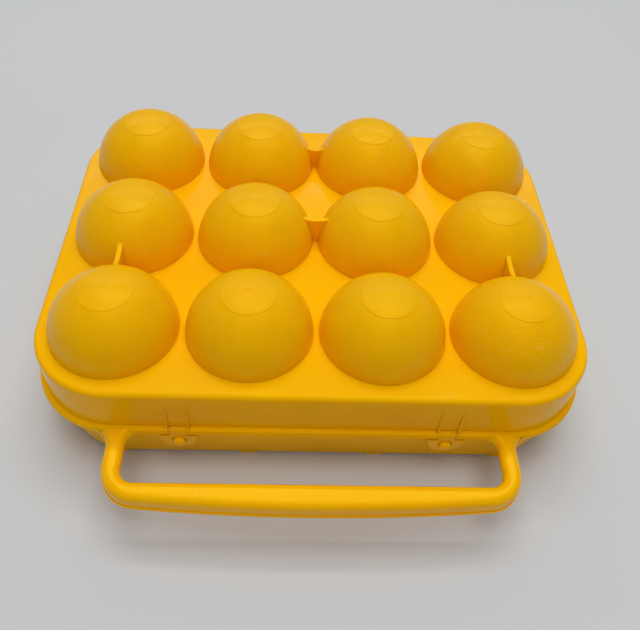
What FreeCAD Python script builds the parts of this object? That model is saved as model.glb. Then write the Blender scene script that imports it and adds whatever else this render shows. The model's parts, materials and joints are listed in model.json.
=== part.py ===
import FreeCAD, Part
import math
import os

# Egg box with a hinged domed lid, a fixed bow handle and two snap tongues.
# Millimetres, +Z up, the handle points to -Y, the box stands on z = 0.

# Egg grid
COLUMNS = 4
ROW_NAMES = ("front", "middle", "rear")
BOWL_RADIUS = 24.0
BOWL_GAP = 2.0

# Shells
WALL = 1.6
DISC_RADIUS = 10.0
DOME_RISE = 20.4
DOME_CROWN = 1.9
CUP_FLATTENING = 0.3

# Lid deck and wall
SIDE_BORDER = 5.2
FRONT_BORDER = 6.5
REAR_BORDER = 3.2
CORNER_BORDER = 7.0
LID_HEIGHT = 19.2
LID_EDGE_ROUND = 2.0
LID_CLEARANCE = 0.3

# Webs between domes
WEB_THICK = 1.8
WEB_HEIGHT_MIDDLE = 12.0
WEB_HEIGHT_REAR = 10.0
WEB_HEIGHT_SIDE = 13.0
WEB_SIDE_SHIFT = 1.1

# Base rim and skirt
RIM_OVERHANG = 2.2
RIM_HEIGHT = 2.4
RIM_ROUND = 1.4
SKIRT_INSET = 0.4
SKIRT_DRAFT = 3.3
FOOT_HEIGHT = 1.2
FOOT_LENGTH = 10.0

# Carry handle
LEG_INSET = 32.2
LEG_WIDTH = 7.0
FINGER_REACH = 19.2
GRIP_WIDTH = 9.7
GRIP_BOW = 3.6
HANDLE_HEIGHT = 7.5
HANDLE_DROP = 0.4
HANDLE_ROUND = 3.0
ROUND_SHARE = 0.45
HANDLE_CORNER = 12.0
FINGER_CORNER = 5.0
LEG_FLARE = 3.5
HANDLE_WALL = 2.0
LIP_PROUD = 0.4
LIP_HEIGHT = 1.0

# Latches
LATCH_TO_LEG = 22.0
RIB_SPACING = 7.7
RIB_THICK = 1.0
RIB_DEPTH = 1.6
RIB_HEIGHT = 13.5
TONGUE_THICK = 1.4
TONGUE_WIDTH = 14.7
TONGUE_FOOT_WIDTH = 8.5
TONGUE_LENGTH = 13.7
TONGUE_CORNER = 2.0
SHOULDER_DROP = 1.9
STRAP_CLEARANCE = 0.25
NOTCH_CLEARANCE = 0.6
RIM_FACE_RECESS = 0.4
STUD_RADIUS = 2.3
STUD_NECK = 1.9
STUD_DROP = 7.5
STUD_HEAD = 1.6
STUD_ROUND = 0.9
STUD_PROUD = 0.6
STUD_HOLE_CLEARANCE = 0.8

# Hinges
HINGE_SPACING = 100.0
EYE_RADIUS = 3.0
EYE_WIDTH = 14.0
LUG_WIDTH = 8.0
PIN_RADIUS = 1.5
PIN_CHAMFER = 0.3
PIN_CLEARANCE = 0.05
HINGE_SIDE_GAP = 0.4
HINGE_RIM_GAP = 0.5

# Heights of the main levels; a cup is nearly half a ball deep
CUP_DEPTH = BOWL_RADIUS - CUP_FLATTENING
RIM_TOP = CUP_DEPTH + WALL
RIM_BOTTOM = RIM_TOP - RIM_HEIGHT
DECK_TOP = RIM_TOP + LID_HEIGHT

# Half sizes of the outlines, and what lines up along the front
ROWS = len(ROW_NAMES)
EGG_PITCH = 2 * BOWL_RADIUS + BOWL_GAP
LID_CORNER = BOWL_RADIUS + CORNER_BORDER
LID_HALF_X = (COLUMNS - 1) * EGG_PITCH / 2 + BOWL_RADIUS + SIDE_BORDER
LID_HALF_Y = ((ROWS - 1) * EGG_PITCH + FRONT_BORDER + REAR_BORDER) / 2 + BOWL_RADIUS
RIM_HALF_Y = LID_HALF_Y + RIM_OVERHANG
LEG_SPACING = 2 * (LID_HALF_X - LEG_INSET)
LATCH_SPACING = LEG_SPACING - 2 * LATCH_TO_LEG

# The handle's front and the hinge's back are equally far from the origin
HINGE_BEHIND = RIM_HALF_Y + HINGE_RIM_GAP + EYE_RADIUS
FRONT_REACH = RIM_HALF_Y + FINGER_REACH + GRIP_WIDTH + LIP_PROUD
REAR_REACH = HINGE_BEHIND + EYE_RADIUS
LID_Y = (FRONT_REACH - REAR_REACH) / 2
HINGE_Y = LID_Y + HINGE_BEHIND
RIM_FRONT = LID_Y - RIM_HALF_Y
LID_FRONT = LID_Y - LID_HALF_Y
LID_REAR = LID_Y + LID_HALF_Y
GRID_Y = LID_Y + (FRONT_BORDER - REAR_BORDER) / 2

# The base's deck and the hollow below it start this far from the lid's outline
BASE_INSIDE = -SKIRT_INSET - WALL

# The latch strap hangs between the two ribs, just behind the rim's face
STRAP_HALF = RIB_SPACING / 2 - RIB_THICK / 2 - STRAP_CLEARANCE
NOTCH_HALF = STRAP_HALF + NOTCH_CLEARANCE
TONGUE_FRONT = RIM_FRONT + RIM_FACE_RECESS
TONGUE_BACK = TONGUE_FRONT + TONGUE_THICK
STUD_Z = RIM_TOP - STUD_DROP
STUD_HOLE = STUD_RADIUS + STUD_HOLE_CLEARANCE

# Coordinates closer than this are equal
TOLERANCE = 1e-6

UP = FreeCAD.Vector(0, 0, 1)
ALONG_X = FreeCAD.Vector(1, 0, 0)
ALONG_Y = FreeCAD.Vector(0, 1, 0)


def point(x, y, z):
    """A place in space."""
    return FreeCAD.Vector(x, y, z)


def box(low, high):
    """A block between two opposite corners."""
    size = high - low
    return Part.makeBox(size.x, size.y, size.z, low)


def prism(corners, direction):
    """A polygon pushed along a direction."""
    return Part.Face(Part.makePolygon(corners + corners[:1])).extrude(direction)


def grid_places():
    """Row name, column number and centre of each egg place."""
    for row, name in enumerate(ROW_NAMES):
        for column in range(COLUMNS):
            x = (column - (COLUMNS - 1) / 2) * EGG_PITCH
            y = GRID_Y + (row - (ROWS - 1) / 2) * EGG_PITCH
            yield name, column + 1, x, y


def rounded_wire(grow, z):
    """The lid's outline grown sideways, as a closed wire at one height."""
    half_x = LID_HALF_X + grow
    half_y = LID_HALF_Y + grow
    radius = LID_CORNER + grow
    edges = []
    for quarter in range(4):
        sign_x = (1, -1, -1, 1)[quarter]
        sign_y = (1, 1, -1, -1)[quarter]
        centre = point(sign_x * (half_x - radius), LID_Y + sign_y * (half_y - radius), z)
        start = quarter * math.pi / 2
        ends = []
        for step in range(3):
            angle = start + step * math.pi / 4
            ends.append(centre + point(radius * math.cos(angle), radius * math.sin(angle), 0))
        if edges:
            edges.append(Part.LineSegment(edges[-1].EndPoint, ends[0]))
        edges.append(Part.Arc(*ends))
    edges.append(Part.LineSegment(edges[-1].EndPoint, edges[0].StartPoint))
    return Part.Wire([edge.toShape() for edge in edges])


def slab(grow, low, high):
    """The outline as a plate between two heights."""
    return Part.Face(rounded_wire(grow, low)).extrude(UP * (high - low))


def tapered(grow_low, low, grow_high, high):
    """The outline as a plate whose side wall leans."""
    return Part.makeLoft([rounded_wire(grow_low, low), rounded_wire(grow_high, high)], True, True)


def level_edges(shape, z):
    """Edges that lie wholly at one height."""
    found = []
    for edge in shape.Edges:
        if max(abs(vertex.Z - z) for vertex in edge.Vertexes) < TOLERANCE:
            found.append(edge)
    return found


def sphere_centre(rise):
    """Height of the centre of the sphere through the bowl's mouth and its disc."""
    return (DISC_RADIUS ** 2 + rise ** 2 - BOWL_RADIUS ** 2) / (2 * rise)


def mouth_radius(rise):
    """Inner radius of a bowl at its mouth."""
    centre = sphere_centre(rise)
    inner = math.hypot(BOWL_RADIUS, centre) - WALL
    return math.sqrt(inner ** 2 - centre ** 2)


def ball_cap(rise, inset, top, crown):
    """Solid of revolution under a sphere, closed by a slightly crowned disc."""
    centre = sphere_centre(rise)
    radius = math.hypot(BOWL_RADIUS, centre) - inset

    def on_sphere(angle):
        return point(radius * math.cos(angle), 0, centre + radius * math.sin(angle))

    low = math.asin(-centre / radius)
    high = math.asin((top - centre) / radius)
    side = Part.Arc(on_sphere(low), on_sphere((low + high) / 2), on_sphere(high))
    disc = on_sphere(high).x
    peak = point(0, 0, top + crown)
    if crown > 0:
        bend = (disc ** 2 + crown ** 2) / (2 * crown)
        half = disc / 2
        lid = Part.Arc(side.EndPoint, point(half, 0, peak.z - bend + math.sqrt(bend ** 2 - half ** 2)), peak)
    else:
        lid = Part.LineSegment(side.EndPoint, peak)
    axis = Part.LineSegment(peak, point(0, 0, 0))
    floor = Part.LineSegment(point(0, 0, 0), side.StartPoint)
    outline = Part.Wire([part.toShape() for part in (side, lid, axis, floor)])
    return Part.Face(outline).revolve(point(0, 0, 0), UP, 360)


def dome_body():
    """A dome without its hollow, on the ground at the origin."""
    return ball_cap(DOME_RISE, 0, DOME_RISE, DOME_CROWN)


def make_dome(x, y):
    """A dome standing on the lid's deck."""
    hollow = ball_cap(DOME_RISE, WALL, DOME_RISE - WALL, DOME_CROWN)
    dome = dome_body().cut(hollow)
    dome.translate(point(x, y, DECK_TOP))
    return dome


def make_cup(x, y):
    """A bowl hanging under the base's deck, with a flat foot on the ground."""
    hollow = ball_cap(CUP_DEPTH, WALL, CUP_DEPTH - WALL, 0)
    cup = ball_cap(CUP_DEPTH, 0, CUP_DEPTH, 0).cut(hollow)
    cup.rotate(point(0, 0, 0), ALONG_X, 180)
    cup.translate(point(x, y, CUP_DEPTH))
    return cup


def egg_holes(rise, low, high):
    """The row of mouths through a deck plate."""
    radius = mouth_radius(rise)
    return [Part.makeCylinder(radius, high - low, point(x, y, low)) for _, _, x, y in grid_places()]


def deck_strips(grow, rise, low, high):
    """A holed deck plate, divided along the middles of its egg columns."""
    plate = slab(grow, low, high).cut(egg_holes(rise, low, high))
    strips = []
    for strip in range(COLUMNS + 1):
        left = (strip - (COLUMNS + 1) / 2) * EGG_PITCH
        right = left + EGG_PITCH
        if strip == 0:
            left = -LID_HALF_X
        if strip == COLUMNS:
            right = LID_HALF_X
        strips.append(plate.common(box(point(left, LID_FRONT, low), point(right, LID_REAR, high))))
    return strips


def make_rib(x):
    """A thin gusset that grows down the lid's front wall."""
    low = RIM_TOP + LID_CLEARANCE
    left = x - RIB_THICK / 2
    corners = [
        point(left, LID_FRONT, low),
        point(left, LID_FRONT - RIB_DEPTH, low),
        point(left, LID_FRONT, low + RIB_HEIGHT),
    ]
    return prism(corners, ALONG_X * RIB_THICK)


def latch_places():
    """Side name and centre of each latch."""
    return (("left", -LATCH_SPACING / 2), ("right", LATCH_SPACING / 2))


def hinge_places():
    """Side name and centre of each hinge."""
    return (("left", -HINGE_SPACING / 2), ("right", HINGE_SPACING / 2))


def make_lid_wall():
    """Wall and rounded edge round the lid's deck, with the latch ribs and root tabs."""
    outer = slab(0, RIM_TOP, DECK_TOP)
    outer = outer.makeFillet(LID_EDGE_ROUND, level_edges(outer, DECK_TOP))
    hollow = slab(-WALL, RIM_TOP, DECK_TOP - WALL)
    deck = slab(-LID_EDGE_ROUND, DECK_TOP - WALL, DECK_TOP)
    wall = outer.cut([hollow, deck])
    extras = []
    for _, x in latch_places():
        extras += [make_rib(x - RIB_SPACING / 2), make_rib(x + RIB_SPACING / 2)]
        low = point(x - STRAP_HALF, LID_FRONT, RIM_TOP - TONGUE_THICK)
        high = point(x + STRAP_HALF, LID_FRONT + WALL, RIM_TOP)
        extras.append(box(low, high))
    return wall.fuse(extras).removeSplitter()


def make_web(x, y, along, height, shift=0):
    """A thin wall in the valley between two neighbouring domes, shifted sideways."""
    across = ALONG_X + ALONG_Y - along
    half = along * (EGG_PITCH / 2) + across * (WEB_THICK / 2)
    centre = point(x, y, DECK_TOP)
    web = box(centre - half + across * shift, centre + half + across * shift + UP * height)
    cuts = []
    for side in (-1, 1):
        dome = dome_body()
        dome.translate(centre + along * (side * EGG_PITCH / 2))
        cuts.append(dome)
    return web.cut(cuts)


def skirt_body():
    """Outside of the skirt, leaning in towards the ground."""
    return tapered(-SKIRT_INSET - SKIRT_DRAFT, FOOT_HEIGHT, -SKIRT_INSET, RIM_BOTTOM)


def make_feet():
    """Short pads under the skirt's front and rear edges, one for each column."""
    ring = slab(-SKIRT_INSET - SKIRT_DRAFT, 0, FOOT_HEIGHT)
    ring = ring.cut(slab(-SKIRT_INSET - SKIRT_DRAFT - WALL, 0, FOOT_HEIGHT))
    feet = []
    for name, _, x, y in grid_places():
        if name in (ROW_NAMES[0], ROW_NAMES[-1]):
            edge = LID_FRONT if y < GRID_Y else LID_REAR
            near = point(x - FOOT_LENGTH / 2, min(y, edge), 0)
            far = point(x + FOOT_LENGTH / 2, max(y, edge), FOOT_HEIGHT)
            feet.append(ring.common(box(near, far)))
    return feet


def make_base_rim():
    """Rim and skirt round the base's deck, notched where the latch tongues pass the rim."""
    rim = slab(RIM_OVERHANG, RIM_BOTTOM, RIM_TOP)
    rim = rim.makeFillet(RIM_ROUND, level_edges(rim, RIM_TOP))
    hollow = tapered(BASE_INSIDE - SKIRT_DRAFT, FOOT_HEIGHT, BASE_INSIDE, RIM_BOTTOM)
    hollow = hollow.fuse(slab(BASE_INSIDE, RIM_BOTTOM, RIM_TOP))
    ring = rim.fuse(skirt_body()).cut(hollow)
    cuts = []
    for _, x in latch_places():
        front = RIM_FRONT - WALL
        shelf = point(x - NOTCH_HALF, front, RIM_TOP - TONGUE_THICK - STRAP_CLEARANCE)
        cuts.append(box(shelf, point(x + NOTCH_HALF, LID_FRONT + WALL + STRAP_CLEARANCE, RIM_TOP + WALL)))
        slot = point(x - NOTCH_HALF, front, RIM_BOTTOM - WALL)
        cuts.append(box(slot, point(x + NOTCH_HALF, LID_FRONT + STRAP_CLEARANCE, RIM_TOP + WALL)))
    return ring.cut(cuts).fuse(make_feet()).removeSplitter()


def upright_edges(shape, y):
    """Edges that stand straight up at one depth."""
    found = []
    for edge in shape.Edges:
        ends = edge.Vertexes
        if len(ends) == 2 and abs(ends[0].X - ends[1].X) < TOLERANCE:
            if max(abs(end.Y - y) for end in ends) < TOLERANCE:
                found.append(edge)
    return found


def handle_block(inset, low, high):
    """The handle's bow between two heights, inset from its outside."""
    outer = (LEG_SPACING + LEG_WIDTH) / 2 - inset
    inner = (LEG_SPACING - LEG_WIDTH) / 2 + inset
    root = RIM_FRONT - max(inset, 0)
    gap_front = RIM_FRONT - FINGER_REACH - inset
    grip_front = RIM_FRONT - FINGER_REACH - GRIP_WIDTH + inset
    side_front = grip_front + GRIP_BOW
    curves = [
        Part.LineSegment(point(-outer, root, low), point(-outer, side_front, low)),
        Part.Arc(point(-outer, side_front, low), point(0, grip_front, low), point(outer, side_front, low)),
        Part.LineSegment(point(outer, side_front, low), point(outer, root, low)),
        Part.LineSegment(point(outer, root, low), point(-outer, root, low)),
    ]
    block = Part.Face(Part.Wire([curve.toShape() for curve in curves])).extrude(UP * (high - low))
    block = block.makeFillet(HANDLE_CORNER - inset, upright_edges(block, side_front))
    gap = box(point(-inner, gap_front, low), point(inner, RIM_FRONT, high))
    gap = gap.makeFillet(FINGER_CORNER + inset, upright_edges(gap, gap_front))
    return block.cut(gap)


def leg_flares(low, high):
    """Wedges that widen each leg where it leaves the rim."""
    wedges = []
    for side in (-1, 1):
        for edge, outward in ((LEG_SPACING + LEG_WIDTH, side), (LEG_SPACING - LEG_WIDTH, -side)):
            x = side * edge / 2
            corners = [
                point(x, RIM_FRONT, low),
                point(x + outward * LEG_FLARE, RIM_FRONT, low),
                point(x, RIM_FRONT - LEG_FLARE, low),
            ]
            wedges.append(prism(corners, UP * (high - low)))
    return wedges


def make_handle():
    """Bow handle of inverted channel section, with a thin lip round its lower edge."""
    high = RIM_TOP - HANDLE_DROP
    low = high - HANDLE_HEIGHT
    handle = handle_block(0, low, high).fuse(leg_flares(low, high)).removeSplitter()
    rounded = []
    for edge in level_edges(handle, high):
        if max(abs(end.Y - RIM_FRONT) for end in edge.Vertexes) > TOLERANCE:
            rounded.append(edge)
    narrowest = min(LEG_WIDTH, GRIP_WIDTH - GRIP_BOW)
    handle = handle.makeFillet(min(HANDLE_ROUND, ROUND_SHARE * narrowest), rounded)
    lip = handle_block(-LIP_PROUD, low, low + LIP_HEIGHT)
    channel = handle_block(HANDLE_WALL, low, high - HANDLE_WALL)
    return handle.fuse(lip).cut(channel).removeSplitter()


def make_tongue(x):
    """Snap tongue: a narrow strap over the rim, widening to a holed plate."""
    strap_low = point(x - STRAP_HALF, TONGUE_FRONT, RIM_TOP - TONGUE_THICK)
    strap = box(strap_low, point(x + STRAP_HALF, LID_FRONT, RIM_TOP))
    shoulder = RIM_BOTTOM - SHOULDER_DROP
    bottom = RIM_TOP - TONGUE_LENGTH
    neck = box(point(x - STRAP_HALF, TONGUE_FRONT, shoulder), point(x + STRAP_HALF, TONGUE_BACK, RIM_TOP))
    corners = [
        point(x - TONGUE_WIDTH / 2, TONGUE_FRONT, shoulder),
        point(x + TONGUE_WIDTH / 2, TONGUE_FRONT, shoulder),
        point(x + TONGUE_FOOT_WIDTH / 2, TONGUE_FRONT, bottom),
        point(x - TONGUE_FOOT_WIDTH / 2, TONGUE_FRONT, bottom),
    ]
    plate = prism(corners, ALONG_Y * TONGUE_THICK)
    ends = [edge for edge in level_edges(plate, bottom) if abs(edge.tangentAt(edge.FirstParameter).y) > 0.5]
    plate = plate.makeFillet(TONGUE_CORNER, ends)
    hole = Part.makeCylinder(STUD_HOLE, 2 * TONGUE_THICK, point(x, TONGUE_FRONT, STUD_Z), ALONG_Y)
    return plate.cut(hole).fuse([neck, strap]).removeSplitter()


def make_stud(x):
    """Button on the skirt: a neck and a wider, rounded head."""
    head_front = TONGUE_FRONT - STUD_PROUD
    head = Part.makeCylinder(STUD_RADIUS, STUD_HEAD, point(x, head_front, STUD_Z), ALONG_Y)
    crown = [edge for edge in head.Edges if max(abs(end.Y - head_front) for end in edge.Vertexes) < TOLERANCE]
    head = head.makeFillet(STUD_ROUND, crown)
    neck_length = LID_FRONT + WALL + SKIRT_DRAFT + SKIRT_INSET - head_front - STUD_HEAD
    neck = Part.makeCylinder(STUD_NECK, neck_length, point(x, head_front + STUD_HEAD, STUD_Z), ALONG_Y)
    return head.fuse(neck).cut(skirt_body()).removeSplitter()


def knuckle(x, width, arm_low, arm_high):
    """Hinge knuckle round the pin, with an arm block that reaches its moulding."""
    left = x - width / 2
    centre = point(left, HINGE_Y, RIM_TOP)
    ring = Part.makeCylinder(EYE_RADIUS, width, centre, ALONG_X)
    arm = box(point(left, arm_low.y, arm_low.z), point(left + width, arm_high.y, arm_high.z))
    bore = Part.makeCylinder(PIN_RADIUS + PIN_CLEARANCE, width, centre, ALONG_X)
    return ring.fuse(arm).cut(bore).removeSplitter()


def make_eye(x):
    """The lid's knuckle, reaching over the rim from the lid's rear wall."""
    low = point(0, LID_REAR, RIM_TOP + LID_CLEARANCE)
    return knuckle(x, EYE_WIDTH, low, point(0, HINGE_Y, RIM_TOP + EYE_RADIUS))


def make_lug(x):
    """One of the base's two knuckles beside an eye."""
    low = point(0, LID_Y + RIM_HALF_Y, RIM_BOTTOM)
    return knuckle(x, LUG_WIDTH, low, point(0, HINGE_Y, RIM_TOP))


def make_pin(x):
    """Plain pin through one eye and its two lugs."""
    length = EYE_WIDTH + 2 * (HINGE_SIDE_GAP + LUG_WIDTH)
    pin = Part.makeCylinder(PIN_RADIUS, length, point(x - length / 2, HINGE_Y, RIM_TOP), ALONG_X)
    rims = [edge for edge in pin.Edges if len(edge.Vertexes) == 1]
    return pin.makeChamfer(PIN_CHAMFER, rims)


def make_parts():
    """All pieces by name."""
    parts = {"base_rim": make_base_rim(), "lid_wall": make_lid_wall(), "carry_handle": make_handle()}
    for number, strip in enumerate(deck_strips(BASE_INSIDE, CUP_DEPTH, RIM_TOP - WALL, RIM_TOP), 1):
        parts[f"base_deck_{number}"] = strip
    for number, strip in enumerate(deck_strips(-LID_EDGE_ROUND, DOME_RISE, DECK_TOP - WALL, DECK_TOP), 1):
        parts[f"lid_deck_{number}"] = strip
    for row, column, x, y in grid_places():
        parts[f"egg_cup_{row}_{column}"] = make_cup(x, y)
        parts[f"lid_dome_{row}_{column}"] = make_dome(x, y)
    for side, x in latch_places():
        parts[f"latch_tongue_{side}"] = make_tongue(x)
        parts[f"latch_stud_{side}"] = make_stud(x)
    lug_offset = EYE_WIDTH / 2 + HINGE_SIDE_GAP + LUG_WIDTH / 2
    for side, x in hinge_places():
        outward = math.copysign(lug_offset, x)
        parts[f"hinge_eye_{side}"] = make_eye(x)
        parts[f"hinge_lug_{side}_outer"] = make_lug(x + outward)
        parts[f"hinge_lug_{side}_inner"] = make_lug(x - outward)
        parts[f"hinge_pin_{side}"] = make_pin(x)
    outer_column = (COLUMNS - 1) * EGG_PITCH / 2
    front_valley = GRID_Y + (2 - ROWS) * EGG_PITCH / 2
    rear_row = GRID_Y + (ROWS - 1) * EGG_PITCH / 2
    parts["web_middle"] = make_web(0, GRID_Y, ALONG_X, WEB_HEIGHT_MIDDLE)
    parts["web_rear"] = make_web(0, rear_row, ALONG_X, WEB_HEIGHT_REAR)
    parts["web_left"] = make_web(-outer_column, front_valley, ALONG_Y, WEB_HEIGHT_SIDE, -WEB_SIDE_SHIFT)
    parts["web_right"] = make_web(outer_column, front_valley, ALONG_Y, WEB_HEIGHT_SIDE, WEB_SIDE_SHIFT)
    return parts


os.makedirs("parts", exist_ok=True)
for node, shape in make_parts().items():
    shape.exportStep(f"parts/{node}.step")
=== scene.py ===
import json
import math
from contextlib import contextmanager

import bmesh
import bpy
from bpy.props import FloatProperty, FloatVectorProperty, PointerProperty
from mathutils import Matrix, Vector


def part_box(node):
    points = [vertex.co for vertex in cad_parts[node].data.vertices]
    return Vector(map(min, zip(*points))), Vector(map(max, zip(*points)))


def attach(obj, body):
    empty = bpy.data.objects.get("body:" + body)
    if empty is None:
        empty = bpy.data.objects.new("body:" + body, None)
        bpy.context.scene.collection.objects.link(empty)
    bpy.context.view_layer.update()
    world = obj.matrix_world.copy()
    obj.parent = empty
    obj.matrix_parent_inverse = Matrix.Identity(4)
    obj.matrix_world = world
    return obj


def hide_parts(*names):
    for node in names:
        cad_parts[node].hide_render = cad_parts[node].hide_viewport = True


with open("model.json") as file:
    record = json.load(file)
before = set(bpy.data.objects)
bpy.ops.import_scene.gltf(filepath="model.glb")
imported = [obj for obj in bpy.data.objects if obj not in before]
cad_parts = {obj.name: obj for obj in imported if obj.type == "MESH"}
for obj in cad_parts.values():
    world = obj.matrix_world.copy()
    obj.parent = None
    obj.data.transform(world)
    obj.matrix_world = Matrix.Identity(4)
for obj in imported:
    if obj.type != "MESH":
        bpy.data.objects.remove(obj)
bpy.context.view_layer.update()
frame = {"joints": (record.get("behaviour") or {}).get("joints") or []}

bl_info = {
    "name": "Egg Box",
    "version": (1, 0, 0),
    "blender": (4, 5, 0),
    "location": "View3D > Sidebar > Egg Box",
    "description": "Models a yellow moulded egg box around its measured frame",
    "category": "Add Mesh",
}

# Lengths are metres, and the frame's own axes are used throughout.
MM = 0.001
NEAR = 1e-6

# Names of the repeated places
ROWS = ("front", "middle", "rear")
COLUMNS = (1, 2, 3, 4)
SIDES = ("left", "right")
DECK_STRIPS = {body: [f"{body}_deck_{number}" for number in range(1, 6)] for body in ("lid", "base")}

# Facets of round shapes
BOWL_SEGMENTS = 96
CORNER_SEGMENTS = 20
EDGE_SEGMENTS = 8
SMALL_SEGMENTS = 4
PIN_SEGMENTS = 48

# Small roundings and allowances
SEAM = 0.3 * MM
FIN_EDGE = 0.06 * MM
FIN_TAPER = 0.55
LIP_EDGE = 0.2 * MM
FOOT_EDGE = 0.4 * MM
FOOT_TAPER = 0.6
WEB_EDGE = 0.35 * MM
SHOULDER_EDGE = 0.9 * MM
KNUCKLE_EDGE = 0.25 * MM
PIN_EDGE = 0.4 * MM
PIN_GAP = 0.05 * MM
SHARP_ANGLE = math.radians(50)

# Lamps, all aimed at the origin: place, long side, short side and power
LAMPS = {
    "rear_high_lamp": ((0, 0.96, 1.88), 2.4, 0.15, 4.6),
    "rear_low_lamp": ((0, 1.65, 1.32), 2.4, 0.15, 4.4),
    "overhead_lamp": ((0.05, 0.2, 1.8), 1.5, 1.6, 21),
    "upper_front_lamp": ((0, -0.9, 1.5), 1.2, 0.35, 2.6),
    "front_lamp": ((0, -1.7, 0.9), 2.4, 0.7, 3.8),
}


def low(node):
    """Lowest corner of a frame node."""
    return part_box(node)[0]


def high(node):
    """Highest corner of a frame node."""
    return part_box(node)[1]


def middle(node):
    """Centre of a frame node's box."""
    return (low(node) + high(node)) / 2


def size(node):
    """Edge lengths of a frame node's box."""
    return high(node) - low(node)


# Levels and half sizes that the frame gives
LID_Y = middle("base_rim").y
DECK_TOP = high("lid_wall").z
RIM_TOP = high("base_rim").z
LID_HALF_X = high("lid_wall").x
LID_HALF_Y = high("lid_wall").y - LID_Y
RIM_HALF_X = high("base_rim").x
RIM_HALF_Y = high("base_rim").y - LID_Y
LID_FRONT = LID_Y - LID_HALF_Y
RIM_FRONT = LID_Y - RIM_HALF_Y
CUP_DEPTH = high("egg_cup_front_1").z
BOWL_RADIUS = size("lid_dome_front_1").x / 2
DOME_HEIGHT = size("lid_dome_front_1").z


def length(label, words, value):
    """A length setting in metres."""
    return FloatProperty(name=label, description=words, default=value, unit="LENGTH", precision=5)


def share(label, words, value):
    """A setting between 0 and 1."""
    return FloatProperty(name=label, description=words, default=value, min=0.0, max=1.0, subtype="FACTOR")


def tint(label, words, value):
    """A linear colour setting."""
    return FloatVectorProperty(
        name=label, description=words, default=value, size=3, min=0.0, max=1.0, subtype="COLOR")


class EggBoxShell(bpy.types.PropertyGroup):
    """Sizes of the base and lid mouldings."""

    wall: length("Wall", "Thickness of the moulded walls", 1.6 * MM)
    lid_corner: length("Lid corner", "Radius of the lid's upright corners", 31.0 * MM)
    lid_edge: length("Lid edge", "Rounding round the deck", 2.0 * MM)
    disc_radius: length("Disc radius", "Radius of the flat mark on each dome", 10.0 * MM)
    disc_step: length("Disc step", "Height of the mark's edge", 0.22 * MM)
    disc_crown: length("Disc crown", "Rise of a dome above the edge of its mark", 1.9 * MM)
    gate_radius: length("Gate radius", "Radius of the sunk point in the middle of each mark", 0.7 * MM)
    gate_depth: length("Gate depth", "Depth of that point", 0.12 * MM)
    rim_height: length("Rim height", "Height of the rim's face", 2.4 * MM)
    rim_edge: length("Rim edge", "Rounding along the top of the rim", 1.4 * MM)
    rim_lip: length("Rim lip", "How far the rim's lower lip stands out", 0.25 * MM)
    rim_lip_height: length("Rim lip height", "Height of that lip", 0.7 * MM)
    skirt_inset: length("Skirt inset", "Distance of the skirt inside the lid's outline", 0.4 * MM)
    skirt_draft: length("Skirt draft", "Lean of the skirt from top to bottom", 3.3 * MM)
    foot_height: length("Foot height", "Gap between the skirt and the ground", 1.2 * MM)
    foot_length: length("Foot length", "Length of the pads under the skirt", 10.0 * MM)
    web_thick: length("Web thickness", "Thickness of the walls between domes", 1.8 * MM)
    web_sag: length("Web sag", "Dip along the top of each web", 0.8 * MM)


class EggBoxHandle(bpy.types.PropertyGroup):
    """Sizes of the carry handle."""

    leg_width: length("Leg width", "Width of the legs", 7.0 * MM)
    leg_spacing: length("Leg spacing", "Distance between the legs' middles", 144.0 * MM)
    finger_reach: length("Finger reach", "Depth of the finger gap", 19.2 * MM)
    grip_bow: length("Grip bow", "Bow of the grip's front", 3.6 * MM)
    corner: length("Corner", "Outer radius where leg meets grip", 12.0 * MM)
    finger_corner: length("Finger corner", "Inner radius where leg meets grip", 5.0 * MM)
    edge: length("Edge", "Rounding of the upper edges", 3.0 * MM)
    flare: length("Flare", "Radius where a leg spreads into the rim", 4.8 * MM)
    root_depth: length("Root depth", "How far a leg's root reaches into the rim", 3.3 * MM)
    root_margin: length("Root margin", "Width of a root beyond its flare", 0.5 * MM)
    root_turn: length("Root turn", "How far a root's outer end follows the rim's corner", 0.9 * MM)
    wall: length("Wall", "Thickness of the channel's walls", 2.0 * MM)
    draft: length("Draft", "Lean of the bow's inner side", 1.7 * MM)
    lip: length("Lip", "How far the lower lip stands out", 0.4 * MM)
    lip_height: length("Lip height", "Height of that lip", 1.0 * MM)


class EggBoxLatch(bpy.types.PropertyGroup):
    """Sizes of the latches."""

    tongue_thick: length("Tongue thickness", "Thickness of the tongue", 1.4 * MM)
    foot_width: length("Foot width", "Width of the tongue's lower end", 8.5 * MM)
    tongue_corner: length("Tongue corner", "Rounding of the lower corners", 2.0 * MM)
    shoulder_drop: length("Shoulder drop", "Start of the wide plate below the rim", 1.9 * MM)
    strap_width: length("Strap width", "Width of the strap over the rim", 6.2 * MM)
    strap_gap: length("Strap gap", "Gap between strap and rim", 0.05 * MM)
    hole_radius: length("Hole radius", "Radius of the hole over the stud", 2.7 * MM)
    edge: length("Edge", "Softening of the tongue's edges", 0.25 * MM)
    lean: length("Lean", "Lean of the tongue's plate towards the skirt", 1.2 * MM)
    rib_spacing: length("Rib spacing", "Distance between the two fins of a latch", 7.7 * MM)
    rib_thick: length("Rib thickness", "Width of a fin at the wall", 1.1 * MM)
    rib_depth: length("Rib depth", "How far a fin's foot stands out", 1.6 * MM)
    rib_height: length("Rib height", "Height of a fin", 13.5 * MM)
    stud_neck: length("Stud neck", "Radius of the stud's neck", 1.9 * MM)
    stud_head: length("Stud head", "Thickness of the stud's head", 1.6 * MM)
    stud_crown: length("Stud crown", "How far the rounded head stands out further", 0.9 * MM)
    stud_round: length("Stud rounding", "Rounding of the stud's head", 1.6 * MM)


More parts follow.
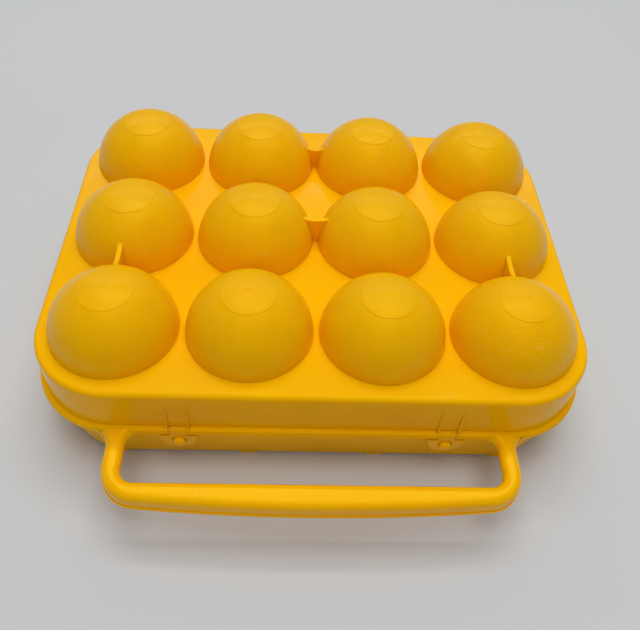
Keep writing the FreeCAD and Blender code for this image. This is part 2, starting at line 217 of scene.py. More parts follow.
class EggBoxFinish(bpy.types.PropertyGroup):
    """Colours and gloss of the plastic."""

    yellow: tint("Yellow", "Body colour of the plastic", (0.985, 0.50, 0.001))
    deep: tint("Deep yellow", "Slow drifts of the body colour", (0.95, 0.465, 0.001))
    # The domes' darker body colour is painted shade, so the domes sit below the deck in brightness.
    shaded_dome_yellow: tint("Shaded yellow", "Body colour of the handled domes", (0.90, 0.472, 0.002))
    dull: tint("Dull yellow", "Mottling of the handled domes", (0.78, 0.40, 0.003))
    soil: tint("Soil", "Colour of small specks", (0.42, 0.19, 0.015))
    scuff: tint("Scuff", "Colour of light scuffs", (0.98, 0.62, 0.10))
    glint: tint("Glint", "Colour of straight reflections", (1.0, 0.8, 0.05))
    wall_gloss: share("Wall roughness", "Roughness of the smooth walls", 0.17)
    dome_gloss: share("Dome roughness", "Roughness of the handled domes", 0.30)


class EggBoxStage(bpy.types.PropertyGroup):
    """Floor, lamps and camera."""

    floor: tint("Floor", "Colour of the floor", (0.60, 0.615, 0.625))
    warm: tint("Front light", "Colour of the low front lamp", (1.0, 0.76, 0.55))
    sky: share("Sky", "Level of the even light from all round", 0.20)
    camera_distance: length("Camera distance", "From the aiming point to the camera", 268.1 * MM)
    camera_lens: FloatProperty(name="Lens", description="Focal length", default=39.18, unit="CAMERA")


# Selection and editing

def only(piece):
    """Selects one object and makes it active."""
    bpy.ops.object.select_all(action="DESELECT")
    piece.select_set(True)
    bpy.context.view_layer.objects.active = piece


@contextmanager
def editing(piece):
    """Edit mode on one object."""
    only(piece)
    bpy.ops.object.mode_set(mode="EDIT")
    yield
    bpy.ops.object.mode_set(mode="OBJECT")


def pick(piece, kind, test):
    """Selects the vertices, edges or faces that pass a test."""
    bpy.ops.mesh.select_mode(type=kind)
    bpy.ops.mesh.select_all(action="DESELECT")
    mesh = bmesh.from_edit_mesh(piece.data)
    elements = {"VERT": mesh.verts, "EDGE": mesh.edges, "FACE": mesh.faces}[kind]
    for element in elements:
        if test(element):
            element.select_set(True)
    mesh.select_flush_mode()
    bmesh.update_edit_mesh(piece.data)


def upright(edge):
    """True for an edge that stands straight up."""
    step = edge.verts[0].co - edge.verts[1].co
    return math.hypot(step.x, step.y) < NEAR and abs(step.z) > NEAR


def level(z):
    """A test for what lies wholly at one height."""
    return lambda part: all(abs(vertex.co.z - z) < NEAR for vertex in part.verts)


def bevel(width, segments, affect="EDGES"):
    """Rounds what is selected."""
    bpy.ops.mesh.bevel(offset=width, segments=segments, affect=affect, clamp_overlap=False)


def slide(x=0.0, y=0.0, z=0.0):
    """Moves what is selected."""
    bpy.ops.transform.translate(value=(x, y, z))


def stretch(centre, x=1.0, y=1.0, z=1.0):
    """Scales what is selected about a point."""
    bpy.ops.transform.resize(value=(x, y, z), center_override=centre)


def extrude(x=0.0, y=0.0, z=0.0):
    """Extrudes what is selected."""
    bpy.ops.mesh.extrude_region_move(TRANSFORM_OT_translate={"value": (x, y, z)})


def slice_at(place, normal):
    """Cuts all the way through with a plane and keeps both sides."""
    bpy.ops.mesh.select_all(action="SELECT")
    bpy.ops.mesh.bisect(plane_co=place, plane_no=normal)


def face_outwards():
    """Turns all faces of the edited mesh outwards."""
    bpy.ops.mesh.select_all(action="SELECT")
    bpy.ops.mesh.normals_make_consistent(inside=False)


def settle(piece):
    """Puts an object's place into its mesh."""
    only(piece)
    bpy.ops.object.transform_apply(location=True, rotation=True, scale=True)


def apply(piece, kind, **settings):
    """Adds a modifier and applies it."""
    only(piece)
    modifier = piece.modifiers.new(kind, kind)
    for name, value in settings.items():
        setattr(modifier, name, value)
    bpy.ops.object.modifier_apply(modifier=modifier.name)


def join(pieces):
    """Joins objects into the first one."""
    bpy.ops.object.select_all(action="DESELECT")
    for piece in pieces:
        piece.select_set(True)
    bpy.context.view_layer.objects.active = pieces[0]
    bpy.ops.object.join()
    return pieces[0]


def cut(piece, tools, operation="DIFFERENCE"):
    """Cuts a closed shape with other closed shapes, which are used up."""
    tool = join(tools) if len(tools) > 1 else tools[0]
    apply(piece, "BOOLEAN", object=tool, operation=operation, solver="EXACT", use_self=len(tools) > 1)
    bpy.data.objects.remove(tool)


def copy_of(piece, name, x=0.0, y=0.0, z=0.0):
    """A copy with its own mesh, moved from the first one."""
    only(piece)
    bpy.ops.object.duplicate(linked=False)
    twin = bpy.context.object
    twin.name = name
    twin.location = (x, y, z)
    settle(twin)
    return twin


# Starting shapes

def block(name, corner, opposite):
    """A box between two corners."""
    corner, opposite = Vector(corner), Vector(opposite)
    bpy.ops.object.select_all(action="DESELECT")
    bpy.ops.mesh.primitive_cube_add(size=1, location=(corner + opposite) / 2)
    piece = bpy.context.object
    piece.name = name
    piece.scale = opposite - corner
    settle(piece)
    return piece


def plate(name, corner, opposite):
    """A flat rectangle between two corners."""
    corner, opposite = Vector(corner), Vector(opposite)
    bpy.ops.object.select_all(action="DESELECT")
    bpy.ops.mesh.primitive_plane_add(size=1, location=(corner + opposite) / 2)
    piece = bpy.context.object
    piece.name = name
    piece.scale = (opposite.x - corner.x, opposite.y - corner.y, 1)
    settle(piece)
    return piece


def drum(name, radius, start, end, segments=BOWL_SEGMENTS):
    """A cylinder between two points."""
    start, end = Vector(start), Vector(end)
    bpy.ops.object.select_all(action="DESELECT")
    turn = Vector((0, 0, 1)).rotation_difference(end - start).to_euler()
    bpy.ops.mesh.primitive_cylinder_add(
        vertices=segments, radius=radius, depth=(end - start).length,
        location=(start + end) / 2, rotation=turn)
    piece = bpy.context.object
    piece.name = name
    settle(piece)
    return piece


def turned(name, foot, axis, rings, segments=BOWL_SEGMENTS, closed=False):
    """A round shell raised ring by ring; each ring is a radius and a height along the axis."""
    foot, axis = Vector(foot), Vector(axis)
    bpy.ops.object.select_all(action="DESELECT")
    radius, height = rings[0]
    turn = Vector((0, 0, 1)).rotation_difference(axis).to_euler()
    bpy.ops.mesh.primitive_circle_add(
        vertices=segments, radius=radius, fill_type="NGON" if closed else "NOTHING",
        location=foot + axis * height, rotation=turn)
    piece = bpy.context.object
    piece.name = name
    settle(piece)
    with editing(piece):
        bpy.ops.mesh.select_all(action="SELECT")
        for next_radius, next_height in rings[1:]:
            extrude(*(axis * (next_height - height)))
            ratio = next_radius / radius
            stretch(foot + axis * next_height, ratio, ratio, ratio)
            radius, height = next_radius, next_height
        if not closed:
            bpy.ops.mesh.edge_face_add()
        face_outwards()
    return piece


def arc_rings(radius, centre, start, end, steps):
    """Rings along a circle about a point on the axis, from one angle to another."""
    rings = []
    for step in range(steps + 1):
        angle = start + (end - start) * step / steps
        rings.append((radius * math.cos(angle), centre + radius * math.sin(angle)))
    return rings


def egg_places():
    """Row name, column number and centre of each egg place."""
    for row in ROWS:
        for column in COLUMNS:
            centre = middle(f"lid_dome_{row}_{column}")
            yield row, column, centre.x, centre.y


def bowl_sphere(rise, disc):
    """Radius and centre height of the sphere through a bowl's mouth and the edge of its disc."""
    centre = (disc ** 2 + rise ** 2 - BOWL_RADIUS ** 2) / (2 * rise)
    return math.hypot(BOWL_RADIUS, centre), centre


def mouth_radius(rise, shell):
    """Inner radius of a bowl at its mouth."""
    radius, centre = bowl_sphere(rise, shell.disc_radius)
    return math.sqrt((radius - shell.wall) ** 2 - centre ** 2)


def mouth_tools(radius, bottom, top):
    """Cylinders that open a deck over every bowl."""
    return [drum("mouth", radius, (x, y, bottom), (x, y, top)) for _, _, x, y in egg_places()]


def rounded_slab(name, half_x, half_y, bottom, top, corner):
    """A plate with round upright corners, centred on the lid."""
    slab = block(name, (-half_x, LID_Y - half_y, bottom), (half_x, LID_Y + half_y, top))
    with editing(slab):
        pick(slab, "EDGE", upright)
        bevel(corner, CORNER_SEGMENTS)
    return slab


# Materials

class Shading:
    """Short ways to add and link the nodes of one material."""

    def __init__(self, name):
        self.material = bpy.data.materials.new(name)
        self.material.use_nodes = True
        self.tree = self.material.node_tree
        self.shader = self.tree.nodes["Principled BSDF"]
        self.place = self.node("ShaderNodeTexCoord").outputs["Object"]

    def node(self, kind, inputs=None, **settings):
        """Adds a node; an input is a value or another node's output."""
        made = self.tree.nodes.new(kind)
        for name, value in settings.items():
            setattr(made, name, value)
        for name, value in (inputs or {}).items():
            self.feed(made.inputs[name], value)
        return made

    def feed(self, socket, value):
        """Links an output to a socket, or sets the socket's value."""
        if isinstance(value, bpy.types.NodeSocket):
            self.tree.links.new(value, socket)
        else:
            socket.default_value = value

    def noise(self, scale, detail=2.0, stretch_by=(1, 1, 1)):
        """Smooth noise over the surface, stretched along the axes if wanted."""
        place = self.node("ShaderNodeMapping", {"Vector": self.place, "Scale": stretch_by}).outputs[0]
        made = self.node("ShaderNodeTexNoise", {"Vector": place, "Scale": scale, "Detail": detail})
        return made.outputs["Fac"]

    def ragged(self, scale, amount):
        """Places shifted a little by noise, which roughens the outline of a pattern."""
        field = self.node("ShaderNodeTexNoise", {"Vector": self.place, "Scale": scale}).outputs["Color"]
        shift = self.node("ShaderNodeVectorMath", operation="MULTIPLY_ADD")
        self.feed(shift.inputs[0], field)
        self.feed(shift.inputs[1], (amount, amount, amount))
        self.feed(shift.inputs[2], self.place)
        return shift.outputs[0]

    def between(self, value, start, end, to_start=0.0, to_end=1.0):
        """Maps a range of values to another one, with clamped ends."""
        inputs = {"Value": value, "From Min": start, "From Max": end, "To Min": to_start, "To Max": to_end}
        return self.node("ShaderNodeMapRange", inputs).outputs[0]

    def maths(self, operation, first, second):
        """One sum of two values."""
        made = self.node("ShaderNodeMath", operation=operation)
        self.feed(made.inputs[0], first)
        self.feed(made.inputs[1], second)
        return made.outputs[0]

    def blend(self, factor, first, second):
        """Mixes two colours."""
        made = self.node("ShaderNodeMix", data_type="RGBA")
        self.feed(made.inputs["Factor"], factor)
        self.feed(made.inputs["A"], first)
        self.feed(made.inputs["B"], second)
        return made.outputs["Result"]

    def bump(self, strength, distance, height):
        """Small unevenness of the surface."""
        return self.node("ShaderNodeBump", {"Strength": strength, "Distance": distance, "Height": height})


def opaque(colour):
    """A colour with full alpha."""
    return (*colour, 1.0)


def speck_mask(shading, scale, radius, share_of_cells):
    """Small separate ragged dots in a few of a pattern's cells."""
    cells = shading.node("ShaderNodeTexVoronoi", {"Vector": shading.ragged(900.0, 0.0012), "Scale": scale})
    dot = shading.between(cells.outputs["Distance"], radius * 0.4, radius, 1.0, 0.0)
    chance = shading.node("ShaderNodeSeparateColor", {"Color": cells.outputs["Color"]}).outputs[0]
    chosen = shading.maths("LESS_THAN", chance, share_of_cells)
    return shading.maths("MULTIPLY", dot, chosen)


def scratch_mask(shading, scale, stretch_by, width):
    """Thin lines where stretched noise crosses its middle."""
    field = shading.noise(scale, 1.0, stretch_by)
    off_middle = shading.maths("ABSOLUTE", shading.maths("SUBTRACT", field, 0.5), 0.0)
    line = shading.between(off_middle, 0.0, width, 1.0, 0.0)
    patches = shading.between(shading.noise(scale * 0.7, 2.0), 0.52, 0.66)
    return shading.maths("MULTIPLY", line, patches)


def moulded_plastic(name, finish, roughness, gloss, specks, scuffs, dome_shade_and_mottle=0.0, scratch_stretch=(1, 6, 6)):
    """Semi-gloss polyethylene with slow tone changes, fine grain, mottling, specks and scuffs."""
    shading = Shading(name)
    cloud = shading.between(shading.noise(26.0, 3.0), 0.35, 0.65)
    colour = shading.blend(cloud, opaque(finish.yellow), opaque(finish.deep))
    # On the domes: a darker body colour as painted shade, plus random mottling towards the dull colour.
    if dome_shade_and_mottle:
        colour = shading.blend(cloud, opaque(finish.shaded_dome_yellow), opaque(finish.deep))
        mottle = shading.between(shading.noise(160.0, 6.0), 0.5, 0.8, 0.0, dome_shade_and_mottle)
        colour = shading.blend(mottle, colour, opaque(finish.dull))
    scratches = scratch_mask(shading, 70.0, scratch_stretch, 0.02)
    colour = shading.blend(shading.maths("MULTIPLY", scratches, scuffs), colour, opaque(finish.scuff))
    dots = speck_mask(shading, 240.0, 0.11, specks)
    colour = shading.blend(shading.maths("MULTIPLY", dots, 0.6), colour, opaque(finish.soil))
    shading.feed(shading.shader.inputs["Base Color"], colour)

    wander = shading.between(shading.noise(60.0, 3.0), 0.3, 0.7, roughness - 0.05, roughness + 0.06)
    rough = shading.maths("ADD", wander, shading.maths("MULTIPLY", scratches, 0.12))
    shading.feed(shading.shader.inputs["Roughness"], rough)

    fine = shading.bump(0.12, 0.1 * MM, shading.noise(1500.0, 2.0))
    slow = shading.bump(0.25, 0.4 * MM, shading.noise(75.0, 1.0))
    shading.feed(slow.inputs["Normal"], fine.outputs[0])
    shading.feed(shading.shader.inputs["Normal"], slow.outputs[0])

    shading.shader.inputs["IOR"].default_value = 1.5
    shading.shader.inputs["Specular IOR Level"].default_value = gloss
    shading.shader.inputs["Specular Tint"].default_value = opaque(finish.glint)
    shading.shader.inputs["Subsurface Weight"].default_value = 0.35
    shading.shader.inputs["Subsurface Radius"].default_value = (1.0, 0.5, 0.02)
    shading.shader.inputs["Subsurface Scale"].default_value = 3 * MM
    return shading.material


def plastic(kind):
    """The material of one finish, made when it is first asked for."""
    name = f"{kind}_moulding"
    if name in bpy.data.materials:
        return bpy.data.materials[name]
    finish = bpy.context.scene.egg_box_finish
    wall, dome = finish.wall_gloss, finish.dome_gloss
    recipes = {
        "lid": {"roughness": wall, "gloss": 0.14, "specks": 0.012, "scuffs": 0.15},
        # The domes' darker body colour here is painted shade; their mottling is random tone.
        "dome": {"roughness": dome, "gloss": 0.30, "specks": 0.08, "scuffs": 0.32, "dome_shade_and_mottle": 0.35},
        "base": {"roughness": wall, "gloss": 0.04, "specks": 0.012, "scuffs": 0.12},
        "handle": {
            "roughness": wall, "gloss": 0.40, "specks": 0.02, "scuffs": 0.25, "scratch_stretch": (6, 1, 6)},
        "latch": {"roughness": wall, "gloss": 0.08, "specks": 0.012, "scuffs": 0.2},
        "hinge": {"roughness": dome, "gloss": 0.30, "specks": 0.012, "scuffs": 0.2},
    }
    return moulded_plastic(name, finish, **recipes[kind])


def dress(piece, kind, smooth_angle=math.radians(32)):
    """Smooth shading and one finish."""
    only(piece)
    bpy.ops.object.shade_smooth_by_angle(angle=smooth_angle)
    apply(piece, "WEIGHTED_NORMAL", keep_sharp=True, weight=80)
    piece.data.materials.clear()
    piece.data.materials.append(plastic(kind))


def seat(piece, body, slot, *nodes):
    """Rides a piece on its body in place of its frame nodes."""
    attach(piece, body)
    if nodes:
        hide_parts(*nodes)


# Lid pieces

def model_lid_cover(shell):
    """Deck, rounded edge and wall as one shell with the egg mouths open."""
    cover = rounded_slab("lid_shell", LID_HALF_X, LID_HALF_Y, RIM_TOP, DECK_TOP, shell.lid_corner)
    with editing(cover):
        pick(cover, "EDGE", level(DECK_TOP))
        bevel(shell.lid_edge, EDGE_SEGMENTS)
        pick(cover, "FACE", lambda face: face.normal.z < -0.9)
        bpy.ops.mesh.delete(type="FACE")
    apply(cover, "SOLIDIFY", thickness=shell.wall, offset=-1, use_even_offset=True)
    radius = mouth_radius(DOME_HEIGHT - shell.disc_crown, shell)
    cut(cover, mouth_tools(radius, DECK_TOP - 3 * shell.wall, DECK_TOP + shell.wall))
    return cover


def model_fin(name, x, latch, wall):
    """A wedge on the lid's front wall, broad at the wall and sharp at its front."""
    front = LID_FRONT - latch.rib_depth
    half = latch.rib_thick / 2
    top = RIM_TOP + latch.rib_height
    fin = block(name, (x - half, front, RIM_TOP), (x + half, LID_FRONT + wall / 2, top))
    with editing(fin):
        pick(fin, "VERT", lambda vertex: vertex.co.y < front + NEAR and vertex.co.z > RIM_TOP + NEAR)
        slide(y=latch.rib_depth)
        pick(fin, "VERT", lambda vertex: vertex.co.y < LID_FRONT + NEAR)
        stretch((x, front, RIM_TOP), x=FIN_TAPER)
        pick(fin, "EDGE", lambda edge: all(vertex.co.y < LID_FRONT + NEAR for vertex in edge.verts))
        bevel(FIN_EDGE, 2)
    return fin


def dome_rings(shell):
    """Outline of a dome from just below the deck to the sunk point on top."""
    rise = DOME_HEIGHT - shell.disc_crown
    radius, centre = bowl_sphere(rise, shell.disc_radius)
    start = math.asin(-centre / radius)
    end = math.asin((rise - centre) / radius)
    rings = [(BOWL_RADIUS, -SEAM)] + arc_rings(radius, centre, start, end, 26)
    edge = rise + shell.disc_step
    crown = DOME_HEIGHT - edge
    rings.append((shell.disc_radius - 0.03 * MM, edge - 0.04 * MM))
    rings.append((shell.disc_radius - 0.12 * MM, edge))
    for step in range(1, 9):
        out = shell.disc_radius + (shell.gate_radius - shell.disc_radius) * step / 8
        rings.append((out, edge + crown * (1 - (out / shell.disc_radius) ** 2)))
    rings.append((shell.gate_radius - 0.1 * MM, DOME_HEIGHT - shell.gate_depth))
    return rings


def model_dome(name, x, y, shell):
    """One dome of the lid as an open shell with its wall."""
    dome = turned(name, (x, y, DECK_TOP), (0, 0, 1), dome_rings(shell))
    apply(dome, "SOLIDIFY", thickness=shell.wall, offset=-1, use_even_offset=True)
    return dome


def model_web(node, shell):
    """A thin wall between two domes, hollowed along its top."""
    centre = middle(node)
    along_x = size(node).x > size(node).y
    along = Vector((1, 0, 0)) if along_x else Vector((0, 1, 0))
    across = Vector((0, 1, 0)) if along_x else Vector((1, 0, 0))
    pitch = middle("lid_dome_front_2").x - middle("lid_dome_front_1").x
    top = high(node).z
    foot = Vector((centre.x, centre.y, DECK_TOP - SEAM))
    half = along * (pitch / 2) + across * (shell.web_thick / 2)
    web = block(f"{node}_wall", foot - half, Vector((centre.x, centre.y, top)) + half)
    radius, sphere = bowl_sphere(DOME_HEIGHT - shell.disc_crown, shell.disc_radius)
    column = min((x for _, _, x, _ in egg_places()), key=lambda x: abs(x - centre.x))
    valley = Vector((centre.x if along_x else column, centre.y, DECK_TOP + sphere))
    tools = []
    for side in (-1, 1):
        place = valley + along * (side * pitch / 2)
        bpy.ops.object.select_all(action="DESELECT")
        bpy.ops.mesh.primitive_uv_sphere_add(
            segments=BOWL_SEGMENTS, ring_count=BOWL_SEGMENTS // 2, radius=radius - SEAM, location=place)
        tools.append(bpy.context.object)
        settle(tools[-1])
    cut(web, tools)
    reach = pitch / 2 - math.sqrt(radius ** 2 - (top - DECK_TOP - sphere) ** 2)
    bend = (reach ** 2 + shell.web_sag ** 2) / (2 * shell.web_sag)
    axis = Vector((centre.x, centre.y, top - shell.web_sag + bend))
    cut(web, [drum("dip", bend, axis - across * shell.web_thick, axis + across * shell.web_thick)])
    apply(web, "BEVEL", width=WEB_EDGE, segments=3, limit_method="ANGLE", angle_limit=SHARP_ANGLE)
    return web


# Base pieces

def model_base_tray(shell, latch):
    """Deck plate, rim and skirt in one shell, with mouths, latch notches and feet."""
    bottom = RIM_TOP - shell.rim_height
    corner = shell.lid_corner + RIM_HALF_X - LID_HALF_X
    tray = rounded_slab("base_shell", RIM_HALF_X, RIM_HALF_Y, bottom, RIM_TOP, corner)
    skirt_half_x = LID_HALF_X - shell.skirt_inset
    skirt_half_y = LID_HALF_Y - shell.skirt_inset
    middle_point = (0, LID_Y, 0)
    with editing(tray):
        pick(tray, "FACE", lambda face: face.normal.z < -0.9)
        bpy.ops.mesh.inset(thickness=RIM_HALF_X - skirt_half_x)
        extrude(z=shell.foot_height - bottom)
        lean_x = 1 - shell.skirt_draft / skirt_half_x
        lean_y = 1 - shell.skirt_draft / skirt_half_y
        stretch(middle_point, lean_x, lean_y)
        bpy.ops.mesh.inset(thickness=shell.wall)
        extrude(z=RIM_TOP - shell.wall - shell.foot_height)
        stretch(middle_point, 1 / lean_x, 1 / lean_y)
        pick(tray, "EDGE", level(RIM_TOP))
        bevel(shell.rim_edge, EDGE_SEGMENTS)
        slice_at((0, 0, bottom + shell.rim_lip_height), (0, 0, 1))
        pick(tray, "FACE", lambda face: is_rim_face(face, bottom + shell.rim_lip_height))
        bpy.ops.transform.shrink_fatten(value=-shell.rim_lip)
        pick(tray, "EDGE", lambda edge: is_outer_edge(edge, bottom))
        bevel(LIP_EDGE, 2)
    cut(tray, mouth_tools(mouth_radius(CUP_DEPTH, shell), CUP_DEPTH - shell.wall, RIM_TOP + shell.wall))
    cut(tray, notch_tools(shell, latch))
    return join([tray] + model_feet(shell))


def is_rim_face(face, above):
    """True for the rim's upright faces above its lip."""
    centre = face.calc_center_median()
    return abs(face.normal.z) < 0.3 and centre.z > above and is_outside(centre)


def is_outer_edge(edge, z):
    """True for the rim's outermost edges at one height."""
    return all(abs(vertex.co.z - z) < NEAR and is_outside(vertex.co) for vertex in edge.verts)


def is_outside(place):
    """True more than a millimetre outside the lid's outline."""
    corner = bpy.context.scene.egg_box_shell.lid_corner
    x = max(abs(place.x) - (LID_HALF_X - corner), 0.0)
    y = max(abs(place.y - LID_Y) - (LID_HALF_Y - corner), 0.0)
    return math.hypot(x, y) > corner + MM


def notch_tools(shell, latch):
    """Blocks that let the latch straps pass the rim."""
    half = latch.strap_width / 2 + latch.strap_gap
    shelf = RIM_TOP - latch.tongue_thick - latch.strap_gap
    front = RIM_FRONT - shell.wall
    top = RIM_TOP + shell.wall
    back = LID_FRONT + latch.strap_gap
    tools = []
    for side in SIDES:
        x = middle(f"latch_tongue_{side}").x
        tools.append(block("shelf", (x - half, front, shelf), (x + half, back + shell.wall, top)))
        tools.append(block("slot", (x - half, front, shelf - 2 * shell.rim_height), (x + half, back, top)))
    return tools


def model_feet(shell):
    """Soft pads on the lower edge of the skirt, front and rear."""
    feet = []
    outside = LID_HALF_Y - shell.skirt_inset - shell.skirt_draft
    for row, _, x, y in egg_places():
        if row == "middle":
            continue
        outer = LID_Y + math.copysign(outside, y - LID_Y)
        inner = outer - math.copysign(shell.wall, y - LID_Y)
        near, far = sorted((outer, inner))
        start = (x - shell.foot_length / 2, near, 0)
        foot = block("foot", start, (x + shell.foot_length / 2, far, shell.foot_height + shell.wall))
        with editing(foot):
            pick(foot, "VERT", lambda vertex: vertex.co.z < NEAR)
            stretch((x, y, 0), x=FOOT_TAPER)
            pick(foot, "EDGE", lambda edge: edge.calc_length() < 2 * shell.wall)
            bevel(FOOT_EDGE, 2)
        feet.append(foot)
    return feet


def model_cup(name, x, y, shell):
    """One bowl of the base, hanging from the deck to its foot."""
    radius, centre = bowl_sphere(CUP_DEPTH, shell.disc_radius)
    start = math.asin(-centre / radius)
    end = math.asin((CUP_DEPTH - centre) / radius)
    rings = arc_rings(radius, centre, start, end, 24)
    rings.append((shell.disc_radius - 0.8 * MM, CUP_DEPTH))
    rings.append((shell.disc_radius / 2, CUP_DEPTH))
    rings.append((0.5 * MM, CUP_DEPTH))
    cup = turned(name, (x, y, CUP_DEPTH), (0, 0, -1), rings)
    apply(cup, "SOLIDIFY", thickness=shell.wall, offset=-1, use_even_offset=True)
    return cup


def model_handle(handle, shell):
    """Bow handle: an outline cut from a plate, raised, rounded, lipped and hollowed below."""
    bottom, top = low("carry_handle").z, high("carry_handle").z
    outer = (handle.leg_spacing + handle.leg_width) / 2
    reach = outer + handle.flare + handle.root_margin
    front = low("carry_handle").y + handle.lip
    root = RIM_FRONT + handle.lip
    bow = plate("handle_bow", (-reach, front, bottom), (reach, root + handle.root_depth, bottom))
    with editing(bow):
        shape_bow_outline(bow, handle, outer, front, root)
        raise_bow(bow, handle, bottom, top)
        hollow_bow(bow, handle, bottom, top, root - handle.flare / 2)
        lift_roots(bow, handle, bottom, RIM_TOP - shell.rim_height, root)
        face_outwards()
    return bow


def shape_bow_outline(bow, handle, outer, front, root):
    """Turns the plate into a bowed U with round corners and spreading roots."""
    inner = outer - handle.leg_width
    spread = handle.flare + handle.root_margin
    gap_front = RIM_FRONT - handle.finger_reach
    for x in (inner - spread, inner, outer):
        slice_at((x, 0, 0), (1, 0, 0))
        slice_at((-x, 0, 0), (1, 0, 0))
    for y in (gap_front, root):
        slice_at((0, y, 0), (0, 1, 0))
    pick(bow, "FACE", lambda face: is_beside_bow(
        face.calc_center_median(), inner, outer, spread, gap_front, root))
    bpy.ops.mesh.delete(type="FACE")
    drop_spare_cuts()
    bow_out(bow, front, outer, handle)
    drop_spare_cuts()
    pick(bow, "VERT", lambda vertex: abs(vertex.co.x) > outer + NEAR and vertex.co.y < root + NEAR)
    slide(y=handle.root_turn)
    pick(bow, "VERT", lambda vertex: abs(vertex.co.x) > outer - NEAR and vertex.co.y < gap_front)
    bevel(handle.corner, CORNER_SEGMENTS, "VERTICES")
    pick(bow, "VERT", lambda vertex: (
        is_leg_side(vertex.co, inner, inner) and abs(vertex.co.y - gap_front) < NEAR))
    bevel(handle.finger_corner, EDGE_SEGMENTS, "VERTICES")
    pick(bow, "VERT", lambda vertex: is_leg_side(vertex.co, inner, outer) and abs(vertex.co.y - root) < NEAR)
    bevel(handle.flare, EDGE_SEGMENTS, "VERTICES")


def is_beside_bow(place, inner, outer, spread, gap_front, root):
    """True in the finger gap, outside the legs and between the roots."""
    if place.y > root:
        return abs(place.x) < inner - spread
    return abs(place.x) > outer or (abs(place.x) < inner and place.y > gap_front)


def is_leg_side(place, inner, outer):
    """True on the upright sides of the legs."""
    return min(abs(abs(place.x) - inner), abs(abs(place.x) - outer)) < NEAR


def drop_spare_cuts():
    """Removes the cuts and points that no longer shape anything."""
    bpy.ops.mesh.select_all(action="SELECT")
    bpy.ops.mesh.dissolve_limited(angle_limit=math.radians(0.1))


def bow_out(bow, front, outer, handle):
    """Draws the front edge back towards its ends, along an arc."""
    bend = (outer ** 2 + handle.grip_bow ** 2) / (2 * handle.grip_bow)
    arc_end = outer - handle.corner - 2 * MM
    steps = 16
    lines = [arc_end * (2 * step / steps - 1) for step in range(steps + 1)]
    for x in lines:
        slice_at((x, 0, 0), (1, 0, 0))
    for x in lines + [-outer, outer]:
        pick(bow, "VERT", lambda vertex: abs(vertex.co.x - x) < NEAR and vertex.co.y < front + NEAR)
        slide(y=bend - math.sqrt(bend ** 2 - x ** 2))


def raise_bow(bow, handle, bottom, top):
    """Raises the outline in two bands; the lower one leans in beside the fingers and is a lip elsewhere."""
    bpy.ops.mesh.select_all(action="SELECT")
    extrude(z=handle.lip_height)
    extrude(z=top - bottom - handle.lip_height)
    face_outwards()
    pick(bow, "EDGE", lambda edge: level(top)(edge) and not is_in_rim(edge))
    bevel(handle.edge, EDGE_SEGMENTS)
    lip_top = bottom + handle.lip_height
    pick(bow, "FACE", lambda face: is_lip_face(face, lip_top) and is_beside_fingers(face, handle))
    bpy.ops.transform.shrink_fatten(value=-handle.draft)
    pick(bow, "FACE", lambda face: is_lip_face(face, lip_top) and not is_beside_fingers(face, handle))
    bpy.ops.mesh.extrude_region_shrink_fatten(TRANSFORM_OT_shrink_fatten={"value": handle.lip})


def is_in_rim(part):
    """True for what lies inside the rim."""
    return all(vertex.co.y > RIM_FRONT + MM for vertex in part.verts)


def is_lip_face(face, below):
    """True for the upright faces of the lower band, apart from those inside the rim."""
    return abs(face.normal.z) < 0.3 and face.calc_center_median().z < below and not is_in_rim(face)


def is_beside_fingers(face, handle):
    """True on the bow's inner side."""
    centre = face.calc_center_median()
    return abs(centre.x) < handle.leg_spacing / 2 and centre.y > RIM_FRONT - handle.finger_reach - MM


def hollow_bow(bow, handle, bottom, top, end):
    """Sinks a channel into the underside, as far as the roots."""
    slice_at((0, end, 0), (0, 1, 0))
    pick(bow, "FACE", lambda face: level(bottom)(face) and len(face.verts) > 2 * CORNER_SEGMENTS)
    bpy.ops.mesh.inset(thickness=handle.wall)
    extrude(z=top - bottom - handle.wall)


def lift_roots(bow, handle, bottom, rim_bottom, root):
    """Draws the underside of each root up to the rim, and its top level with the rim."""
    start = root - handle.flare
    step = 0.2 * MM
    top = high("carry_handle").z
    lip_top = bottom + handle.lip_height
    edge_low = top - handle.edge
    for row in range(math.ceil((handle.flare + handle.root_depth) / step) + 1):
        near = start + row * step
        far = near + step
        part = min((near + step / 2 - start) / handle.flare, 1.0)
        pick(bow, "VERT", lambda vertex: near <= vertex.co.y < far and vertex.co.z < lip_top + NEAR)
        slide(z=(rim_bottom - bottom) * part ** 2)
        pick(bow, "VERT", lambda vertex: near <= vertex.co.y < far and vertex.co.z > edge_low - NEAR)
        slide(z=(RIM_TOP - 0.02 * MM - top) * part ** 2)


# Latch pieces

